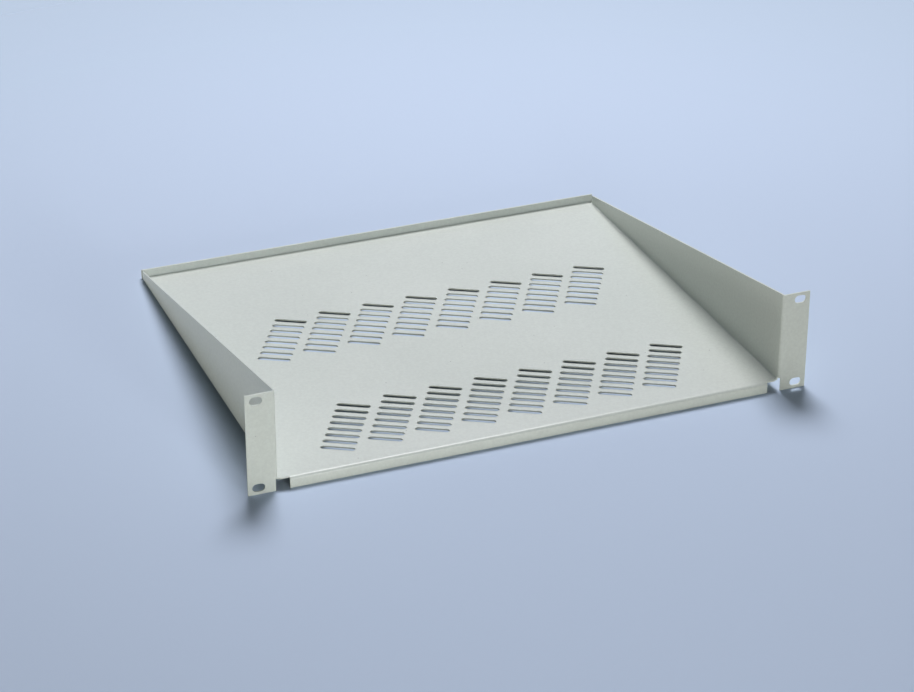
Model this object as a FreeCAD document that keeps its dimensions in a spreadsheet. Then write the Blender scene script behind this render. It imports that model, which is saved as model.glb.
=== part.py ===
import FreeCAD, Part
import math
import os
import Sketcher
from FreeCAD import Rotation, Vector

# A 19-inch cantilever shelf, two units high: one steel sheet, cut flat and folded.
# The frame is the shelf's own: X across the rack, Y from the mounting face back into the
# rack, Z up. The origin is the centre of the four rack slots, on the face of the ears
# that seats on the rack's rails. Lengths are in millimetres and angles in degrees.

os.makedirs("parts", exist_ok=True)
doc = FreeCAD.newDocument("cantilever_shelf")

# ---- Driving sizes -------------------------------------------------------------------

SIZES = {
    "panel_width": 482.6,          # over both ears: the 19-inch panel
    "panel_height": 88.1,          # the ears' height: two rack units, less a gap
    "sheet_thickness": 1.5,
    "bend_radius": 1.0,            # inside every fold
    "tray_inside_width": 433.4,    # between the side walls
    "shelf_depth": 380.0,          # front of the ears to the back of the rear lip
    "floor_height": 9.5,           # the floor's upper face above the foot of the ears
    "rear_lip_rise": 7.0,          # the rear lip's top above the floor
    "front_lip_width": 414.0,      # the front lip stops clear of the ears' feet
    "wall_end_gap": 3.0,           # open corner between a side wall and the rear lip
    "rear_slit": 2.0,              # frees the wall's fold from the rear lip's
    "relief_depth": 2.0,           # corner cut out where the floor's and ear's folds meet
    "relief_reach": 1.0,           # how far the slit and that corner go past the fold
    "foot_gap": 0.2,               # an ear's foot clear of the wall's outer face
    "rack_pitch_wide": 465.1,
    "rack_pitch_high": 76.2,
    "rack_slot_length": 10.3,
    "rack_slot_height": 6.8,
    "vent_slot_length": 28.0,
    "vent_slot_width": 5.0,
    "vent_slot_pitch": 10.0,
    "vent_slots_in_group": 8,
    "vent_turn": 30.0,             # the slots' slant to the front edge
    "vent_group_pitch": 40.0,
    "vent_groups_in_row": 8,
    "vent_row_pitch": 160.0,
    "vent_rows": 2,
    "vent_first_row": 60.0,        # front of the ears to the middle of the front row
}

sheet = doc.addObject("Spreadsheet::Sheet", "Sizes")
for row, (name, value) in enumerate(SIZES.items(), start=1):
    sheet.set(f"A{row}", name)
    sheet.set(f"B{row}", str(value))
    sheet.setAlias(f"B{row}", name)
doc.recompute()

# ---- Places worked out from them -----------------------------------------------------
# Each is a distance from the origin along its own axis, shared by all the sketches.

PLACES = {
    "ear_back": "0",
    "ear_front": "-Sizes.sheet_thickness",
    "bottom": "-Sizes.panel_height / 2",
    "top": "Sizes.panel_height / 2",
    "panel_edge": "Sizes.panel_width / 2",
    "wall_inside": "Sizes.tray_inside_width / 2",
    "wall_outside": "Places.wall_inside + Sizes.sheet_thickness",
    "floor_top": "Places.bottom + Sizes.floor_height",
    "floor_under": "Places.floor_top - Sizes.sheet_thickness",
    "lip_top": "Places.floor_top + Sizes.rear_lip_rise",
    "rear_outside": "Places.ear_front + Sizes.shelf_depth",
    "rear_inside": "Places.rear_outside - Sizes.sheet_thickness",
    "wall_end": "Places.rear_inside - Sizes.wall_end_gap",
    "slit_back": "Places.wall_end + Sizes.rear_slit",
    "side_cut": "Places.wall_inside - Sizes.bend_radius - Sizes.relief_reach",
    "front_fold": "Places.ear_back + Sizes.bend_radius",
    "lip_end": "Sizes.front_lip_width / 2",
    "foot_edge": "Places.wall_outside + Sizes.foot_gap",
    "relief_top": "Places.floor_top + Sizes.relief_depth",
    "relief_back": "Places.ear_back + Sizes.relief_depth",
    "clear_front": "Places.ear_front - Sizes.floor_height",
    "inner_bend": "Sizes.bend_radius",
    "outer_bend": "Sizes.bend_radius + Sizes.sheet_thickness",
}

places = doc.addObject("App::VarSet", "Places")
for name, rule in PLACES.items():
    places.addProperty("App::PropertyFloat", name, "Places")
    places.setExpression(name, rule)
doc.recompute()

body = doc.addObject("PartDesign::Body", "folded_shelf")
body.Label = "folded_shelf"
doc.recompute()


def origin_feature(role):
    """One of the body's own planes or axes, found by its role."""
    return next(item for item in body.Origin.OriginFeatures if item.Role == role)


def new_sketch(name, plane, offset=("0", "0", "0"), turn="0"):
    """A sketch on an origin plane, moved and turned within it by the given rules."""
    sketch = body.newObject("Sketcher::SketchObject", name)
    sketch.AttachmentSupport = [(origin_feature(plane), "")]
    sketch.MapMode = "FlatFace"
    sketch.AttachmentOffset = FreeCAD.Placement(Vector(), Rotation(Vector(0, 0, 1), 0))
    for axis, rule in zip("xyz", offset):
        sketch.setExpression(f"AttachmentOffset.Base.{axis}", rule)
    sketch.setExpression("AttachmentOffset.Rotation.Angle", turn)
    return sketch


def bind(sketch, constraint, rule):
    """Add a dimension whose value follows a rule."""
    index = sketch.addConstraint(constraint)
    sketch.setExpression(f"Constraints[{index}]", rule)


def round_corner(sketch, before, after, point, into, out, bend):
    """A fold's arc between two lines that meet square at a point."""
    radius = getattr(places, bend)
    centre = point - into * radius + out * radius
    turn = into.x * out.y - into.y * out.x
    facing = math.atan2(point.y - centre.y, point.x - centre.x)
    arc = sketch.addGeometry(
        Part.ArcOfCircle(
            Part.Circle(centre, Vector(0, 0, 1), radius),
            facing - math.pi / 4,
            facing + math.pi / 4,
        )
    )
    first, last = (1, 2) if turn > 0 else (2, 1)
    sketch.addConstraint(Sketcher.Constraint("Tangent", before, 2, arc, first))
    sketch.addConstraint(Sketcher.Constraint("Tangent", arc, last, after, 1))
    bind(sketch, Sketcher.Constraint("Radius", arc, radius), f"Places.{bend}")


def add_outline(sketch, corners):
    """A closed outline through corners named by their places.

    A corner may name a bend radius too, where the two lines that meet there are square.
    """
    points = [Vector(getattr(places, x), getattr(places, y), 0) for x, y, *_ in corners]
    bends = [corner[2] if len(corner) == 3 else None for corner in corners]
    count = len(corners)
    ways = [(points[(k + 1) % count] - points[k]).normalize() for k in range(count)]
    radii = [getattr(places, bend) if bend else 0.0 for bend in bends]
    lines = []
    for k in range(count):
        following = (k + 1) % count
        start = points[k] + ways[k] * radii[k]
        end = points[following] - ways[k] * radii[following]
        lines.append(sketch.addGeometry(Part.LineSegment(start, end)))
    upright = [corners[k][0] == corners[(k + 1) % count][0] for k in range(count)]
    level = [corners[k][1] == corners[(k + 1) % count][1] for k in range(count)]
    for k, (x, y, *_) in enumerate(corners):
        if bends[k]:
            round_corner(sketch, lines[k - 1], lines[k], points[k], ways[k - 1], ways[k], bends[k])
        else:
            sketch.addConstraint(Sketcher.Constraint("Coincident", lines[k - 1], 2, lines[k], 1))
        if upright[k]:
            sketch.addConstraint(Sketcher.Constraint("Vertical", lines[k]))
        if level[k]:
            sketch.addConstraint(Sketcher.Constraint("Horizontal", lines[k]))
        if upright[k] or not upright[k - 1]:
            across = Sketcher.Constraint("DistanceX", -1, 1, lines[k], 1, points[k].x)
            bind(sketch, across, f"Places.{x}")
        if level[k] or not level[k - 1]:
            along = Sketcher.Constraint("DistanceY", -1, 1, lines[k], 1, points[k].y)
            bind(sketch, along, f"Places.{y}")


def slot_ends(sketch, length, width):
    """Two guide circles on the sketch's X axis, for the ends of a slot centred on it."""
    radius = sheet.get(width) / 2
    reach = sheet.get(length) / 2 - radius
    right, left = (
        sketch.addGeometry(Part.Circle(Vector(side * reach, 0, 0), Vector(0, 0, 1), radius), True)
        for side in (1, -1)
    )
    sketch.addConstraint(Sketcher.Constraint("PointOnObject", right, 3, -1))
    sketch.addConstraint(Sketcher.Constraint("Symmetric", left, 3, right, 3, -1, 1))
    sketch.addConstraint(Sketcher.Constraint("Equal", left, right))
    bind(sketch, Sketcher.Constraint("Radius", right, radius), f"Sizes.{width} / 2")
    middle = Sketcher.Constraint("DistanceX", -1, 1, right, 3, reach)
    bind(sketch, middle, f"(Sizes.{length} - Sizes.{width}) / 2")
    return radius, reach, right, left


def add_round_slot(sketch, length, width):
    """A slot with half-round ends."""
    radius, reach, guide_right, guide_left = slot_ends(sketch, length, width)
    quarter = math.pi / 2
    up = Vector(0, 0, 1)
    right = Part.ArcOfCircle(Part.Circle(Vector(reach, 0, 0), up, radius), -quarter, quarter)
    left = Part.ArcOfCircle(Part.Circle(Vector(-reach, 0, 0), up, radius), quarter, 3 * quarter)
    upper = Part.LineSegment(Vector(reach, radius, 0), Vector(-reach, radius, 0))
    lower = Part.LineSegment(Vector(-reach, -radius, 0), Vector(reach, -radius, 0))
    arc_right, edge_upper, arc_left, edge_lower = (
        sketch.addGeometry(piece) for piece in (right, upper, left, lower)
    )
    for arc, guide in ((arc_right, guide_right), (arc_left, guide_left)):
        sketch.addConstraint(Sketcher.Constraint("Coincident", arc, 3, guide, 3))
        sketch.addConstraint(Sketcher.Constraint("Equal", arc, guide))
    for before, after in (
        (arc_right, edge_upper),
        (edge_upper, arc_left),
        (arc_left, edge_lower),
        (edge_lower, arc_right),
    ):
        sketch.addConstraint(Sketcher.Constraint("Tangent", before, 2, after, 1))


END_CHORDS = 6


def add_light_slot(sketch, length, width):
    """The same slot with each half-round end as equal chords.

    The chords meet on the guide circle, one of them at the slot's tip, so its length and
    width are the round one's. It suits a slot that is repeated over a hundred times.
    """
    radius, reach, *guides = slot_ends(sketch, length, width)
    rims = []
    for side in (1, -1):
        turns = [math.pi * (step / END_CHORDS - 0.5) for step in range(END_CHORDS + 1)]
        rims.append([
            Vector(side * (reach + radius * math.cos(turn)), side * radius * math.sin(turn), 0)
            for turn in turns
        ])
    corners = rims[0] + rims[1]
    owners = [guides[0]] * len(rims[0]) + [guides[1]] * len(rims[1])
    count = len(corners)
    lines = [
        sketch.addGeometry(Part.LineSegment(corners[k], corners[(k + 1) % count]))
        for k in range(count)
    ]
    for k in range(count):
        sketch.addConstraint(Sketcher.Constraint("Coincident", lines[k - 1], 2, lines[k], 1))
        sketch.addConstraint(Sketcher.Constraint("PointOnObject", lines[k], 1, owners[k]))
    for start, guide in zip((0, END_CHORDS + 1), guides):
        sketch.addConstraint(Sketcher.Constraint("Vertical", lines[start], 1, guide, 3))
        last = start + END_CHORDS
        sketch.addConstraint(Sketcher.Constraint("Vertical", lines[last], 1, guide, 3))
        for k in range(start + 1, last):
            sketch.addConstraint(Sketcher.Constraint("Equal", lines[start], lines[k]))


def new_pad(name, sketch, length, midplane=False):
    """Metal added along the sketch's normal, or half to each side of its plane."""
    pad = body.newObject("PartDesign::Pad", name)
    pad.Profile = sketch
    pad.Midplane = midplane
    pad.setExpression("Length", length)
    doc.recompute()
    return pad


def new_pocket(name, sketch, depth):
    """Metal cut away against the sketch's normal, to a stated depth."""
    before = body.Shape.Volume
    pocket = body.newObject("PartDesign::Pocket", name)
    pocket.Profile = sketch
    pocket.setExpression("Length", depth)
    doc.recompute()
    if not pocket.Shape.Volume < before - 1.0:
        raise RuntimeError(f"{name} cuts nothing")
    return pocket


# ---- Floor, front lip and rear lip ---------------------------------------------------
# One section, seen from the side: the lip turns down at the front, to the level of the
# ears' feet, and up at the rear.

side_view = new_sketch("side_view", "YZ_Plane")
add_outline(side_view, [
    ("ear_front", "bottom"),
    ("ear_front", "floor_top", "outer_bend"),
    ("rear_inside", "floor_top", "inner_bend"),
    ("rear_inside", "lip_top"),
    ("rear_outside", "lip_top"),
    ("rear_outside", "floor_under", "outer_bend"),
    ("ear_back", "floor_under", "inner_bend"),
    ("ear_back", "bottom"),
])
new_pad("floor_and_lips", side_view, "2 * Places.wall_outside", midplane=True)

# In the flat blank each ear's foot lies where the notch is, so the front lip stops short
# of the walls. Behind the notch the floor's side strip is cut off too, and the wall's
# section gives it back, all but the small relief at the front and the slit at the rear.

corner_view = new_sketch("corner_view", "XY_Plane")
add_outline(corner_view, [
    ("lip_end", "clear_front"),
    ("panel_edge", "clear_front"),
    ("panel_edge", "slit_back"),
    ("side_cut", "slit_back"),
    ("side_cut", "front_fold"),
    ("lip_end", "front_fold"),
])
corner_cut = new_pocket("corner_cut", corner_view, "Sizes.panel_height")

# ---- Side wall -----------------------------------------------------------------------
# The wall is folded up from the floor's edge. Its top falls away in a straight line, from
# the ear's full height to the rear lip's.

wall_view = new_sketch("wall_view", "XZ_Plane", ("0", "0", "-Places.wall_end"))
add_outline(wall_view, [
    ("side_cut", "floor_under"),
    ("wall_outside", "floor_under", "outer_bend"),
    ("wall_outside", "top"),
    ("wall_inside", "top"),
    ("wall_inside", "floor_top", "inner_bend"),
    ("side_cut", "floor_top"),
])
wall = new_pad("side_wall", wall_view, "Places.wall_end - Places.relief_back")

taper_view = new_sketch("taper_view", "YZ_Plane", ("0", "0", "Places.wall_outside"))
add_outline(taper_view, [
    ("relief_back", "top"),
    ("wall_end", "lip_top"),
    ("rear_outside", "lip_top"),
    ("rear_outside", "top"),
])
taper = new_pocket("wall_taper", taper_view, "Sizes.sheet_thickness")

# ---- Ear -----------------------------------------------------------------------------
# The ear is folded outward from the wall's front edge, above the cut-out corner where its
# fold would meet the floor's. Below that it goes on as a flat foot, free of the wall.

ear_view = new_sketch("ear_view", "XY_Plane", ("0", "0", "Places.relief_top"))
add_outline(ear_view, [
    ("wall_outside", "relief_back"),
    ("wall_inside", "relief_back"),
    ("wall_inside", "ear_front", "outer_bend"),
    ("panel_edge", "ear_front"),
    ("panel_edge", "ear_back"),
    ("wall_outside", "ear_back", "inner_bend"),
])
ear = new_pad("ear", ear_view, "Places.top - Places.relief_top")

foot_view = new_sketch("foot_view", "XZ_Plane")
add_outline(foot_view, [
    ("foot_edge", "bottom"),
    ("panel_edge", "bottom"),
    ("panel_edge", "relief_top"),
    ("foot_edge", "relief_top"),
])
foot = new_pad("foot", foot_view, "Sizes.sheet_thickness")

both_sides = body.newObject("PartDesign::Mirrored", "both_sides")
both_sides.Originals = [corner_cut, wall, taper, ear, foot]
both_sides.MirrorPlane = (origin_feature("YZ_Plane"), [""])
body.Tip = both_sides
doc.recompute()

# ---- Rack slots ----------------------------------------------------------------------
# Two in each ear, longer across the rack, so that the shelf can be lined up.

rack_slot_view = new_sketch(
    "rack_slot_view", "XZ_Plane",
    ("Sizes.rack_pitch_wide / 2", "Sizes.rack_pitch_high / 2", "Sizes.sheet_thickness"),
)
add_round_slot(rack_slot_view, "rack_slot_length", "rack_slot_height")
rack_slot = new_pocket("rack_slot", rack_slot_view, "2 * Sizes.sheet_thickness")

rack_slots = body.newObject("PartDesign::MultiTransform", "rack_slots")
rack_slots.Originals = [rack_slot]
to_other_ear = body.newObject("PartDesign::Mirrored", "to_other_ear")
to_other_ear.MirrorPlane = (origin_feature("YZ_Plane"), [""])
to_foot = body.newObject("PartDesign::Mirrored", "to_foot")
to_foot.MirrorPlane = (origin_feature("XY_Plane"), [""])
rack_slots.Transformations = [to_other_ear, to_foot]
body.Tip = rack_slots
doc.recompute()

# ---- Ventilation slots ---------------------------------------------------------------
# Groups of parallel slots, slanted to the front edge and stacked square to their own
# length. The groups stand side by side in rows, a front row and a rear row. The sketch
# is the leftmost slot at the back of its group, and the others are copies of it.

HALF_GROUP = "(Sizes.vent_slots_in_group - 1) / 2 * Sizes.vent_slot_pitch"
HALF_ROW = "(Sizes.vent_groups_in_row - 1) / 2 * Sizes.vent_group_pitch"

vent_slot_view = new_sketch(
    "vent_slot_view", "XY_Plane",
    (
        f"{HALF_GROUP} * sin(Sizes.vent_turn * 1 deg) - {HALF_ROW}",
        f"{HALF_GROUP} * cos(Sizes.vent_turn * 1 deg) + Places.ear_front + Sizes.vent_first_row",
        "Places.floor_top",
    ),
    "-Sizes.vent_turn",
)
add_light_slot(vent_slot_view, "vent_slot_length", "vent_slot_width")
vent_slot = new_pocket("vent_slot", vent_slot_view, "Sizes.sheet_thickness")

vents = body.newObject("PartDesign::MultiTransform", "vents")
vents.Originals = [vent_slot]


def new_pattern(name, direction, reverse, pitch, count):
    """A straight run of copies, from its pitch and count."""
    pattern = body.newObject("PartDesign::LinearPattern", name)
    pattern.Direction = direction
    pattern.Reversed = reverse
    pattern.setExpression("Occurrences", f"Sizes.{count}")
    pattern.setExpression("Length", f"Sizes.{pitch} * (Sizes.{count} - 1)")
    return pattern


vents.Transformations = [
    new_pattern(
        "vent_group", (vent_slot_view, ["V_Axis"]), True, "vent_slot_pitch", "vent_slots_in_group"
    ),
    new_pattern(
        "vent_row", (origin_feature("X_Axis"), [""]), False, "vent_group_pitch", "vent_groups_in_row"
    ),
    new_pattern(
        "vent_field", (origin_feature("Y_Axis"), [""]), False, "vent_row_pitch", "vent_rows"
    ),
]
body.Tip = vents
doc.recompute()

# ---- Check and write -----------------------------------------------------------------

for item in doc.Objects:
    if "Invalid" in item.State or "Error" in item.State:
        raise RuntimeError(f"{item.Name} failed: {item.State}")

shape = body.Shape
if shape.isNull() or not shape.isValid() or len(shape.Solids) != 1:
    raise RuntimeError(f"{body.Label} isn't one sound solid")
shape.exportStep(f"parts/{body.Label}.step")
print(body.Label, "volume", round(shape.Volume), "faces", len(shape.Faces))
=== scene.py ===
import math
import bpy
import numpy as np
from mathutils import Euler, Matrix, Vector
from mathutils.geometry import delaunay_2d_cdt


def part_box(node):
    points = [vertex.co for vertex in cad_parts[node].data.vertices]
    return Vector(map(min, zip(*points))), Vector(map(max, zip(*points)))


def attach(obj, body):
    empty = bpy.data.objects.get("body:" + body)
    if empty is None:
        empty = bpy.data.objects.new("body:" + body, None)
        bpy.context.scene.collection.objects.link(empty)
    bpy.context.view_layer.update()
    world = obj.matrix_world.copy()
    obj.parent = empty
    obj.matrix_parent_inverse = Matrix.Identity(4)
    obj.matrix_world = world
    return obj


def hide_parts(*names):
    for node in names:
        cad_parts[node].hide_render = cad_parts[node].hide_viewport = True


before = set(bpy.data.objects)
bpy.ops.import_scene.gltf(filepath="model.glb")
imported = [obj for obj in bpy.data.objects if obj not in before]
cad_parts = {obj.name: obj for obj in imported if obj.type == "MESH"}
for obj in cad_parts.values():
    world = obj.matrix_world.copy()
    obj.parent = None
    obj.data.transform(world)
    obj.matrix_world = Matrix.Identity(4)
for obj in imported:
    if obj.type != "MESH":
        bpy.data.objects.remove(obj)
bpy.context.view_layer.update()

scene = bpy.context.scene
scene.view_settings.view_transform = "Standard"
MM = 0.001

# ---- The studio ----------------------------------------------------------------------
# The shelf stands on the feet of its ears, its front lip and the underside of its rear
# fold, which is higher, so the floor leans back to touch all of them. The key lamp hangs
# behind it on the right. Two low lamps light the ears from the front and the walls from the left.

low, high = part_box("folded_shelf")
tray_top = low[2] + 9.5 * MM
thickness = 1.5 * MM
bend_inside = 1.0 * MM
rear_fold = high[1] - thickness - bend_inside
floor_lean = math.atan2(tray_top - thickness - low[2], rear_fold)
floor_reach = 6.0
fade_start = 0.5
fade_end = 1.4
pale_blue = (0.50, 0.60, 0.74, 1.0)
floor_bounce = (0.90, 0.90, 0.82, 1.0)
sky_fill = (0.065, 0.067, 0.064, 1.0)


def leaning_floor(name, reach, lean, height):
    """A flat square: depth times the lean's cosine and sine, through Y 0 at the height."""
    across = np.array([-1.0, 1.0, 1.0, -1.0]) * reach
    depth = np.array([-1.0, -1.0, 1.0, 1.0]) * reach
    corners = np.stack(
        [across, depth * math.cos(lean), height + depth * math.sin(lean)], axis=1
    )
    mesh = bpy.data.meshes.new(name)
    mesh.from_pydata(corners.tolist(), [], [(0, 1, 2, 3)])
    return mesh


def feed(tree, socket, value):
    """Link an output to an input's socket, or set a plain value in it."""
    if isinstance(value, bpy.types.NodeSocket):
        tree.links.new(value, socket)
    else:
        socket.default_value = value


def add_node(tree, kind, *inputs, **named):
    """A node of a kind, its inputs fed in their order or by name.

    A name is a property's or an input's, with an underscore for each space.
    """
    node = tree.nodes.new(kind)
    for name, value in named.items():
        if hasattr(node, name):
            setattr(node, name, value)
        else:
            feed(tree, node.inputs[name.replace("_", " ")], value)
    for socket, value in zip(node.inputs, inputs):
        feed(tree, socket, value)
    return node


def mix_colours(tree, share, first, second):
    """A blend of two colours: the first at a share of 0 and the second at 1."""
    blend = add_node(tree, "ShaderNodeMix", share, data_type="RGBA")
    feed(tree, blend.inputs[6], first)
    feed(tree, blend.inputs[7], second)
    return blend.outputs[2]


def seen_or_lit(tree, seen, lit):
    """One colour where the camera or a gloss shows the thing, another in the light it gives."""
    path = add_node(tree, "ShaderNodeLightPath").outputs
    shown = add_node(
        tree, "ShaderNodeMath", path["Is Camera Ray"], path["Is Glossy Ray"], operation="MAXIMUM"
    )
    return mix_colours(tree, shown.outputs["Value"], lit, seen)


floor_paint = bpy.data.materials.new("pale_floor_paint")
floor_paint.use_nodes = True
paint = floor_paint.node_tree
floor_shader = paint.nodes["Principled BSDF"]
feed(paint, floor_shader.inputs["Base Color"], seen_or_lit(paint, pale_blue, floor_bounce))
floor_shader.inputs["Roughness"].default_value = 0.9
floor_shader.inputs["Specular IOR Level"].default_value = 0.1

# Away from the shelf the camera sees the floor fade into the sky, so no dark far end shows.
floor_place = add_node(paint, "ShaderNodeTexCoord").outputs["Object"]
floor_distance = add_node(paint, "ShaderNodeVectorMath", floor_place, operation="LENGTH")
floor_fade = add_node(
    paint, "ShaderNodeMapRange", floor_distance.outputs["Value"],
    interpolation_type="SMOOTHSTEP", From_Min=fade_start, From_Max=fade_end,
)
floor_path = add_node(paint, "ShaderNodeLightPath").outputs
floor_gone = add_node(
    paint, "ShaderNodeMath", floor_fade.outputs["Result"], floor_path["Is Camera Ray"],
    operation="MULTIPLY",
)
clear_air = add_node(paint, "ShaderNodeBsdfTransparent")
floor_blend = add_node(
    paint, "ShaderNodeMixShader",
    floor_gone.outputs["Value"], floor_shader.outputs["BSDF"], clear_air.outputs["BSDF"],
)
feed(paint, paint.nodes["Material Output"].inputs["Surface"], floor_blend.outputs["Shader"])

floor_mesh = leaning_floor("pale_floor", floor_reach, floor_lean, low[2])
floor_mesh.materials.append(floor_paint)
pale_floor = bpy.data.objects.new("pale_floor", floor_mesh)
scene.collection.objects.link(pale_floor)

sky = bpy.data.worlds.new("pale_sky")
sky.use_nodes = True
sky_light = sky.node_tree.nodes["Background"]
feed(sky.node_tree, sky_light.inputs["Color"], seen_or_lit(sky.node_tree, pale_blue, sky_fill))
sky_light.inputs["Strength"].default_value = 1.0
scene.world = sky


def soft_lamp(kind, name, power, colour, place, aim):
    """A lamp of a kind, turned from its place to face the aim."""
    light = bpy.data.lights.new(name, kind)
    light.energy = power
    light.color = colour
    lamp = bpy.data.objects.new(name, light)
    lamp.location = place
    lamp.rotation_euler = (Vector(aim) - Vector(place)).to_track_quat("-Z", "Y").to_euler()
    scene.collection.objects.link(lamp)
    return light


key_light = soft_lamp(
    "AREA", "key_lamp", power=54.5, colour=(1.02, 1.0, 1.05),
    place=(0.5, 1.2, 2.0), aim=(0.0, 0.15, 0.0),
)
key_light.size = 1.0
front_light = soft_lamp(
    "AREA", "front_lamp", power=2.35, colour=(0.98, 0.99, 1.03),
    place=(0.10, -2.0, 0.22), aim=(-0.3, 0.0, 0.02),
)
front_light.size = 0.4
front_light.spread = math.radians(60.0)
side_light = soft_lamp(
    "SUN", "side_lamp", power=0.42, colour=(1.0, 1.0, 1.0),
    place=(-2.0, 0.0, 0.04), aim=(0.0, 0.0, 0.0),
)
side_light.angle = math.radians(4.0)

camera_fall = math.radians(27.87)
camera_turn = math.radians(-21.65)
lens = bpy.data.cameras.new("studio_camera")
lens.sensor_width = 36.0
lens.lens = 107.9
lens.clip_start = 0.1
lens.clip_end = 50.0
studio_camera = bpy.data.objects.new("studio_camera", lens)
studio_camera.location = (-0.7606, -1.7460, 1.0461)
studio_camera.rotation_euler = Euler((0.5 * math.pi - camera_fall, 0.0, camera_turn))
scene.collection.objects.link(studio_camera)
scene.camera = studio_camera

# ---- The folded sheet ----------------------------------------------------------------
# One sheet of steel, cut flat and folded: a lip down at the front and up at the rear, a
# tapering wall up each side, and an ear outward from the front of each wall. The blank
# is laid out flat, as it was cut, and its folds turn every point of it into place.

edge_round = 0.3 * MM
rim_steps = 3                     # in each quarter of a rounded edge
bend_length = 0.5 * math.pi * (bend_inside + 0.5 * thickness)
bend_steps = 8

tray_inside_width = 433.4 * MM
front_lip_width = 414.0 * MM
rear_lip_rise = 7.0 * MM          # above the tray
wall_end_gap = 3.0 * MM           # the open corner between a wall and the rear lip
rear_slit = 2.0 * MM              # frees the wall's fold from the rear lip's
relief = 2.0 * MM                 # the corner cut out where the tray's and ear's folds meet
relief_reach = 1.0 * MM           # how far that corner and the slit go past the side fold
foot_cut = 0.8 * bend_length      # from the front fold's line to an ear's foot, cut free

panel_edge = high[0]
wall_inside = 0.5 * tray_inside_width
wall_outside = wall_inside + thickness
side_fold = wall_inside - bend_inside
side_cut = side_fold - relief_reach
front_fold = bend_inside
wall_end = high[1] - thickness - wall_end_gap
slit_back = wall_end + rear_slit
lip_top = tray_top + rear_lip_rise
lip_end = 0.5 * front_lip_width


def blank_up(height):
    """How far out in the blank a wall's point at this height lies: past the side fold."""
    return side_fold + bend_length + height - tray_top - bend_inside


def blank_out(x):
    """How far forward in the blank an ear's point at this X lies: past the front fold."""
    return front_fold - bend_length - (x - wall_outside - bend_inside)


lip_foot = front_fold - bend_length - (tray_top - thickness - bend_inside - low[2])
foot_edge = front_fold - foot_cut
rear_top = rear_fold + bend_length + lip_top - tray_top - bend_inside
foot_or_lip = 0.5 * (lip_end + blank_up(low[2]))     # between the lip's end and an ear's foot

right_half = np.array([
    (lip_end, lip_foot),
    (lip_end, front_fold),
    (side_cut, front_fold),
    (side_cut, relief),
    (blank_up(tray_top + relief), relief),
    (blank_up(tray_top + relief), foot_edge),
    (blank_up(low[2]), foot_edge),
    (blank_up(low[2]), blank_out(panel_edge)),
    (blank_up(high[2]), blank_out(panel_edge)),
    (blank_up(high[2]), relief),
    (blank_up(lip_top), wall_end),
    (side_cut, wall_end),
    (side_cut, slit_back),
    (wall_outside, slit_back),
    (wall_outside, rear_top),
])
blank_outline = np.concatenate([right_half, right_half[::-1] * (-1.0, 1.0)])


def slot_rims(centres, along, length, width, steps):
    """Round-ended slots: each end is a half circle in equal steps about its own centre."""
    turn = np.linspace(-0.5 * math.pi, 0.5 * math.pi, steps + 1)
    arc = np.stack([np.cos(turn), np.sin(turn)], axis=1) * 0.5 * width
    reach = (0.5 * (length - width), 0.0)
    rim = np.concatenate([arc + reach, -arc - reach])
    across = np.array([-along[1], along[0]])
    turned = rim[:, :1] * along + rim[:, 1:] * across
    return centres[:, None, :] + turned[None, :, :]


# The ventilation slots slant to the front edge in groups of eight, stacked square to
# their length; eight groups stand side by side in each of two rows.
vent_length = 28.0 * MM
vent_width = 5.0 * MM
vent_end_steps = 10
vent_count = 8
vent_pitch = 10.0 * MM
group_pitch = 40.0 * MM
row_backs = np.array([58.5, 218.5]) * MM     # the middle of each row, back from the origin
vent_turn = math.radians(-30.0)
vent_along = np.array([math.cos(vent_turn), math.sin(vent_turn)])
vent_stack = np.array([vent_along[1], -vent_along[0]])
vent_place = np.arange(vent_count) - 0.5 * (vent_count - 1)
vent_centres = (
    (vent_place * vent_pitch)[:, None, None, None] * vent_stack
    + (vent_place * group_pitch)[None, :, None, None] * np.array([1.0, 0.0])
    + row_backs[None, None, :, None] * np.array([0.0, 1.0])
).reshape(-1, 2)

# The rack slots lie across the rack, which in the blank is along the ear.
rack_length = 10.3 * MM
rack_width = 6.8 * MM
rack_end_steps = 16
rack_level = 38.1 * MM            # half the spacing of the slots up an ear
rack_reach = 232.55 * MM          # half their spacing across the rack
rack_along = np.array([0.0, 1.0])
rack_centres = np.array([
    (side * blank_up(level * rack_level), blank_out(rack_reach))
    for side in (-1.0, 1.0)
    for level in (-1.0, 1.0)
])


def mitres(points, starts, ends):
    """How each corner moves when its two edges both move outward by one.

    The move is twice the sum of the edges' outward normals over its length squared.
    """
    edge = points[ends] - points[starts]
    normal = np.stack([edge[:, 1], -edge[:, 0]], axis=1)
    normal /= np.linalg.norm(normal, axis=1, keepdims=True)
    total = np.zeros_like(points)
    np.add.at(total, starts, normal)
    np.add.at(total, ends, normal)
    tiny = 1e-12
    size = np.maximum((total ** 2).sum(axis=1, keepdims=True), tiny)
    return 2.0 * total / size, normal


def ring(count):
    """The starts and ends of a closed run of edges."""
    starts = np.arange(count)
    return starts, np.roll(starts, -1)


def inside(points, outline):
    """Whether points lie in an outline: an odd number of its edges pass to their right."""
    start, end = outline, np.roll(outline, -1, axis=0)
    x, y = points[:, :1], points[:, 1:]
    spans = (start[:, 1] > y) != (end[:, 1] > y)
    rise = np.where(end[:, 1] == start[:, 1], 1.0, end[:, 1] - start[:, 1])
    crossing = start[:, 0] + (y - start[:, 1]) / rise * (end[:, 0] - start[:, 0])
    return (spans & (x < crossing)).sum(axis=1) % 2 == 1


def in_slots(points, centres, along, length, width):
    """Whether points are nearer than half the width to the middle line of any slot."""
    gap = points[:, None, :] - centres[None, :, :]
    run = np.clip(gap @ along, -0.5 * (length - width), 0.5 * (length - width))
    return (np.linalg.norm(gap - run[..., None] * along, axis=2) < 0.5 * width).any(axis=1)


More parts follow.
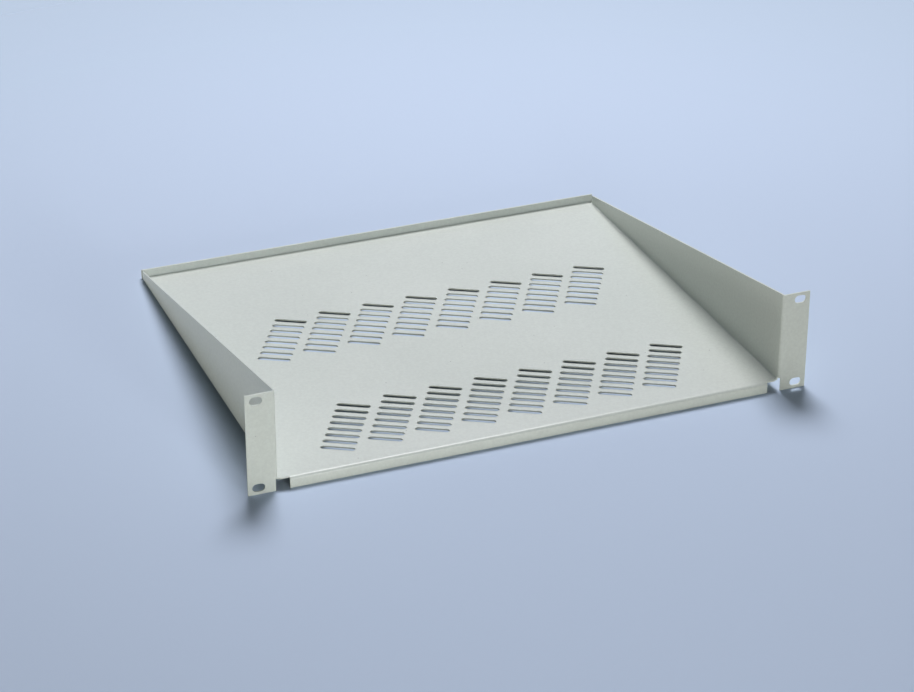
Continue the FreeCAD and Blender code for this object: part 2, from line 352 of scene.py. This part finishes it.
def cut_blank():
    """The blank as flat triangles, with an edge along every step of every fold.

    The outline is drawn in by the edge rounding and the slots are let out by it, so the
    rounding can be carried round each of them afterwards.
    """
    starts, ends = ring(len(blank_outline))
    outward, _ = mitres(blank_outline, starts, ends)
    outline = blank_outline - outward * edge_round
    grow = 2.0 * edge_round
    vent = (vent_centres, vent_along, vent_length + grow, vent_width + grow)
    rack = (rack_centres, rack_along, rack_length + grow, rack_width + grow)
    loops = [outline, *slot_rims(*vent, vent_end_steps), *slot_rims(*rack, rack_end_steps)]
    points = list(loops)
    edges = []
    first = 0
    for loop in loops:
        starts, ends = ring(len(loop))
        edges.append(np.stack([starts, ends], axis=1) + first)
        first += len(loop)

    steps = bend_length * np.linspace(0.0, 1.0, bend_steps + 1)
    spare = 0.2 * MM
    ear_top = blank_up(high[2]) + spare
    lines = []
    for step in steps:
        front, rear, side = front_fold - step, rear_fold + step, side_fold + step
        lines.append([(-lip_end - spare, front), (lip_end + spare, front)])
        lines.append([(-wall_outside - spare, rear), (wall_outside + spare, rear)])
        foot = blank_up(tray_top + relief) if front > foot_edge else blank_up(low[2])
        for hand in (-1.0, 1.0):
            lines.append([(hand * (foot - spare), front), (hand * ear_top, front)])
            lines.append([(hand * side, relief - spare), (hand * side, wall_end + spare)])
    points.append(np.array(lines).reshape(-1, 2))
    edges.append(np.arange(2 * len(lines)).reshape(-1, 2) + first)

    points = np.concatenate(points) / MM
    edges = np.concatenate(edges)
    whole_hull, nearness, with_origins = 0, 1e-4, False
    made = delaunay_2d_cdt(
        [Vector(point) for point in points.tolist()], edges.tolist(), [],
        whole_hull, nearness, with_origins,
    )
    flat = np.array([tuple(point) for point in made[0]]) * MM
    triangles = np.array(made[2])
    middle = flat[triangles].mean(axis=1)
    keep = inside(middle, outline) & ~in_slots(middle, *vent) & ~in_slots(middle, *rack)
    triangles = triangles[keep]
    a, b, c = (flat[triangles[:, k]] for k in range(3))
    area = np.cross(b - a, c - a)
    triangles = np.where(area[:, None] < 0.0, triangles[:, ::-1], triangles)
    used, triangles = np.unique(triangles, return_inverse=True)
    return flat[used], triangles.reshape(-1, 3)


def bend(past, offset, side):
    """Carry points over a fold, from how far past its line they lie in the blank.

    The turn grows evenly to a right angle over the bend's length. A point rides on an arc
    about a centre on the fold's inner side, and past the bend it goes on straight. Side is
    1 for a fold toward the tray and -1 for one away from it. The offset is the height over
    the tray's skin. Gives the advance, the new offset and the turn.
    """
    turn = 0.5 * math.pi * np.clip(past / bend_length, 0.0, 1.0)
    before = np.minimum(past, 0.0)
    over = np.maximum(past - bend_length, 0.0)
    centre = bend_inside if side > 0 else -thickness - bend_inside
    radius = side * (centre - offset)
    advance = before + radius * np.sin(turn) + over * np.cos(turn)
    rise = centre - side * radius * np.cos(turn) + side * over * np.sin(turn)
    return advance, rise, turn


def fold_blank(flat, offset):
    """Fold the blank: the front and rear folds first, then the side folds.

    Gives the points and their own three directions: out across the blank, back along it,
    and square to its tray skin. An ear with its foot is all past the side fold, and the
    rear lip's ends are all before it.
    """
    out, back = np.abs(flat[:, 0]), flat[:, 1]
    hand = np.where(flat[:, 0] < 0.0, -1.0, 1.0)
    ahead, front_rise, front_turn = bend(front_fold - back, offset, -1)
    behind, rear_rise, rear_turn = bend(back - rear_fold, offset, 1)
    at_rear = back > 0.5 * (wall_end + slit_back)
    y = np.where(at_rear, rear_fold + behind, front_fold - ahead)
    rise = np.where(at_rear, rear_rise, front_rise)
    turn = np.where(at_rear, rear_turn, front_turn)

    ear = (out > foot_or_lip) & (back < front_fold - edge_round)
    past = out - side_fold
    advance, height, side_turn = bend(past, rise, 1)
    x = np.where(at_rear, out, np.where(ear, wall_inside - rise, side_fold + advance))
    z = np.where(at_rear, rise, np.where(ear, bend_inside + past - bend_length, height))
    side_turn = np.where(at_rear, 0.0, np.where(ear, 0.5 * math.pi, side_turn))

    zero = np.zeros_like(x)
    level = np.stack([hand * np.cos(side_turn), zero, np.sin(side_turn)], axis=1)
    upright = np.stack([-hand * np.sin(side_turn), zero, np.cos(side_turn)], axis=1)
    rearward = np.array([0.0, 1.0, 0.0])
    sine, cosine = np.sin(turn)[:, None], np.cos(turn)[:, None]
    across = level * hand[:, None]
    along = cosine * rearward + sine * upright
    square = cosine * upright - sine * rearward
    points = np.stack([hand * x, y, tray_top + z], axis=1)
    return points, across, along, square


def make_sheet(name):
    """The folded sheet as a closed mesh: two skins, and a rounded rim round every cut.

    A rim's section is a quarter circle from the tray skin to the cut face and another to
    the back skin. The rim's normals follow the section, and run smoothly round a slot's
    end but not round a square corner.
    """
    flat, triangles = cut_blank()
    count = len(flat)
    directed = triangles[:, [0, 1, 1, 2, 2, 0]].reshape(-1, 2)
    forward = directed[:, 0] * count + directed[:, 1]
    reverse = directed[:, 1] * count + directed[:, 0]
    border = directed[~np.isin(forward, reverse)]
    rim_ids, border = np.unique(border, return_inverse=True)
    border = border.reshape(-1, 2)
    rim = flat[rim_ids]
    starts, ends = border[:, 0], border[:, 1]
    outward, edge_normal = mitres(rim, starts, ends)

    quarter = np.linspace(0.0, 0.5 * math.pi, rim_steps + 1)
    swing = np.concatenate([quarter, quarter + 0.5 * math.pi])
    reach = edge_round * np.sin(swing)
    depth = np.concatenate([
        edge_round * (np.cos(quarter) - 1.0),
        edge_round * (1.0 + np.cos(quarter + 0.5 * math.pi)) - thickness,
    ])
    rows = len(swing)

    skin = fold_blank(flat, np.zeros(count))
    under = fold_blank(flat, np.full(count, -thickness))
    row_flat = rim[None] + outward[None] * reach[:, None, None]
    row_parts = [fold_blank(row_flat[k], np.full(len(rim), depth[k])) for k in range(rows)]
    middle_rows = [part[0] for part in row_parts[1:-1]]
    points = np.concatenate([skin[0], under[0]] + middle_rows)

    index = np.empty((rows, len(rim)), dtype=int)
    index[0] = rim_ids
    index[-1] = rim_ids + count
    for k in range(1, rows - 1):
        index[k] = 2 * count + (k - 1) * len(rim) + np.arange(len(rim))
    quads = np.stack([
        index[:-1][:, ends], index[:-1][:, starts], index[1:][:, starts], index[1:][:, ends],
    ], axis=-1).reshape(-1, 4)

    def rim_normal(row, corner, flat_normal):
        """The section's normal at a row: part square to the skin and part outward."""
        _, across, along, square = (part[corner] for part in row_parts[row])
        sideways = across * flat_normal[:, :1] + along * flat_normal[:, 1:]
        return square * math.cos(swing[row]) + sideways * math.sin(swing[row])

    smooth = outward / np.linalg.norm(outward, axis=1, keepdims=True)
    smooth_within = math.cos(math.radians(15.0))
    turn_start = (smooth[starts] * edge_normal).sum(axis=1) > smooth_within
    turn_end = (smooth[ends] * edge_normal).sum(axis=1) > smooth_within
    start_normal = np.where(turn_start[:, None], smooth[starts], edge_normal)
    end_normal = np.where(turn_end[:, None], smooth[ends], edge_normal)
    quad_normals = np.stack([
        np.stack([
            rim_normal(k, ends, end_normal),
            rim_normal(k, starts, start_normal),
            rim_normal(k + 1, starts, start_normal),
            rim_normal(k + 1, ends, end_normal),
        ], axis=1)
        for k in range(rows - 1)
    ]).reshape(-1, 3)

    faces = triangles.tolist() + (triangles[:, ::-1] + count).tolist() + quads.tolist()
    mesh = bpy.data.meshes.new(name)
    mesh.from_pydata(points.tolist(), [], faces)
    mesh.shade_smooth()
    normals = np.concatenate([
        skin[3][triangles].reshape(-1, 3),
        -under[3][triangles[:, ::-1]].reshape(-1, 3),
        quad_normals,
    ])
    mesh.normals_split_custom_set(normals.tolist())
    return mesh


# The powder coat is a warm light grey, baked on: a faint orange peel, a slow drift of
# tone and gloss over a hand's breadth, and here and there a dark fleck of dust in it.
light_grey = (0.604, 0.647, 0.595, 1.0)
deeper_grey = (0.553, 0.598, 0.546, 1.0)
dust_grey = (0.16, 0.17, 0.17, 1.0)
dust_bar = 0.72                   # the share of the dust's cells that stay bare
dust_strength = 0.8

powder_coat = bpy.data.materials.new("grey_powder_coat")
powder_coat.use_nodes = True
coat = powder_coat.node_tree
coat_shader = coat.nodes["Principled BSDF"]
where = add_node(coat, "ShaderNodeTexCoord").outputs["Object"]

drift = add_node(
    coat, "ShaderNodeTexNoise", Vector=where, Scale=7.0, Detail=3.0, Roughness=0.5
).outputs["Fac"]
tone = add_node(coat, "ShaderNodeMapRange", drift, From_Min=0.15, From_Max=0.85)
grey = mix_colours(coat, tone.outputs["Result"], deeper_grey, light_grey)

grain = add_node(
    coat, "ShaderNodeTexNoise", Vector=where, Scale=420.0, Detail=2.0, Roughness=0.6
).outputs["Fac"]
mottle = add_node(
    coat, "ShaderNodeMapRange", grain, From_Min=0.35, From_Max=0.65, To_Min=0.965, To_Max=1.03
)
mottled = add_node(
    coat, "ShaderNodeVectorMath", grey, operation="SCALE", Scale=mottle.outputs["Result"]
)

dust_cells = add_node(coat, "ShaderNodeTexVoronoi", Vector=where, Scale=95.0, Randomness=1.0)
dust_size = add_node(
    coat, "ShaderNodeMapRange", dust_cells.outputs["Distance"],
    From_Min=0.036, From_Max=0.05, To_Min=1.0, To_Max=0.0,
)
dust_pick = add_node(coat, "ShaderNodeSeparateColor", dust_cells.outputs["Color"])
dust_few = add_node(
    coat, "ShaderNodeMath", dust_pick.outputs["Red"], dust_bar, operation="GREATER_THAN"
)
dust = add_node(
    coat, "ShaderNodeMath", dust_size.outputs["Result"], dust_few.outputs["Value"],
    operation="MULTIPLY",
)
dust_share = add_node(
    coat, "ShaderNodeMath", dust.outputs["Value"], dust_strength, operation="MULTIPLY"
)
dusted = mix_colours(coat, dust_share.outputs["Value"], mottled.outputs["Vector"], dust_grey)
feed(coat, coat_shader.inputs["Base Color"], dusted)

gloss = add_node(
    coat, "ShaderNodeMapRange", drift, From_Min=0.15, From_Max=0.85, To_Min=0.26, To_Max=0.34
)
feed(coat, coat_shader.inputs["Roughness"], gloss.outputs["Result"])

peel = add_node(
    coat, "ShaderNodeTexNoise", Vector=where, Scale=900.0, Detail=1.0, Roughness=0.4
).outputs["Fac"]
orange_peel = add_node(coat, "ShaderNodeBump", Height=peel, Strength=0.25, Distance=0.00008)
feed(coat, coat_shader.inputs["Normal"], orange_peel.outputs["Normal"])
coat_shader.inputs["Specular IOR Level"].default_value = 0.5

shelf_mesh = make_sheet("shelf_sheet")
shelf_mesh.materials.append(powder_coat)
shelf_sheet = bpy.data.objects.new("shelf_sheet", shelf_mesh)
scene.collection.objects.link(shelf_sheet)
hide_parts("folded_shelf")
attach(shelf_sheet, "root")
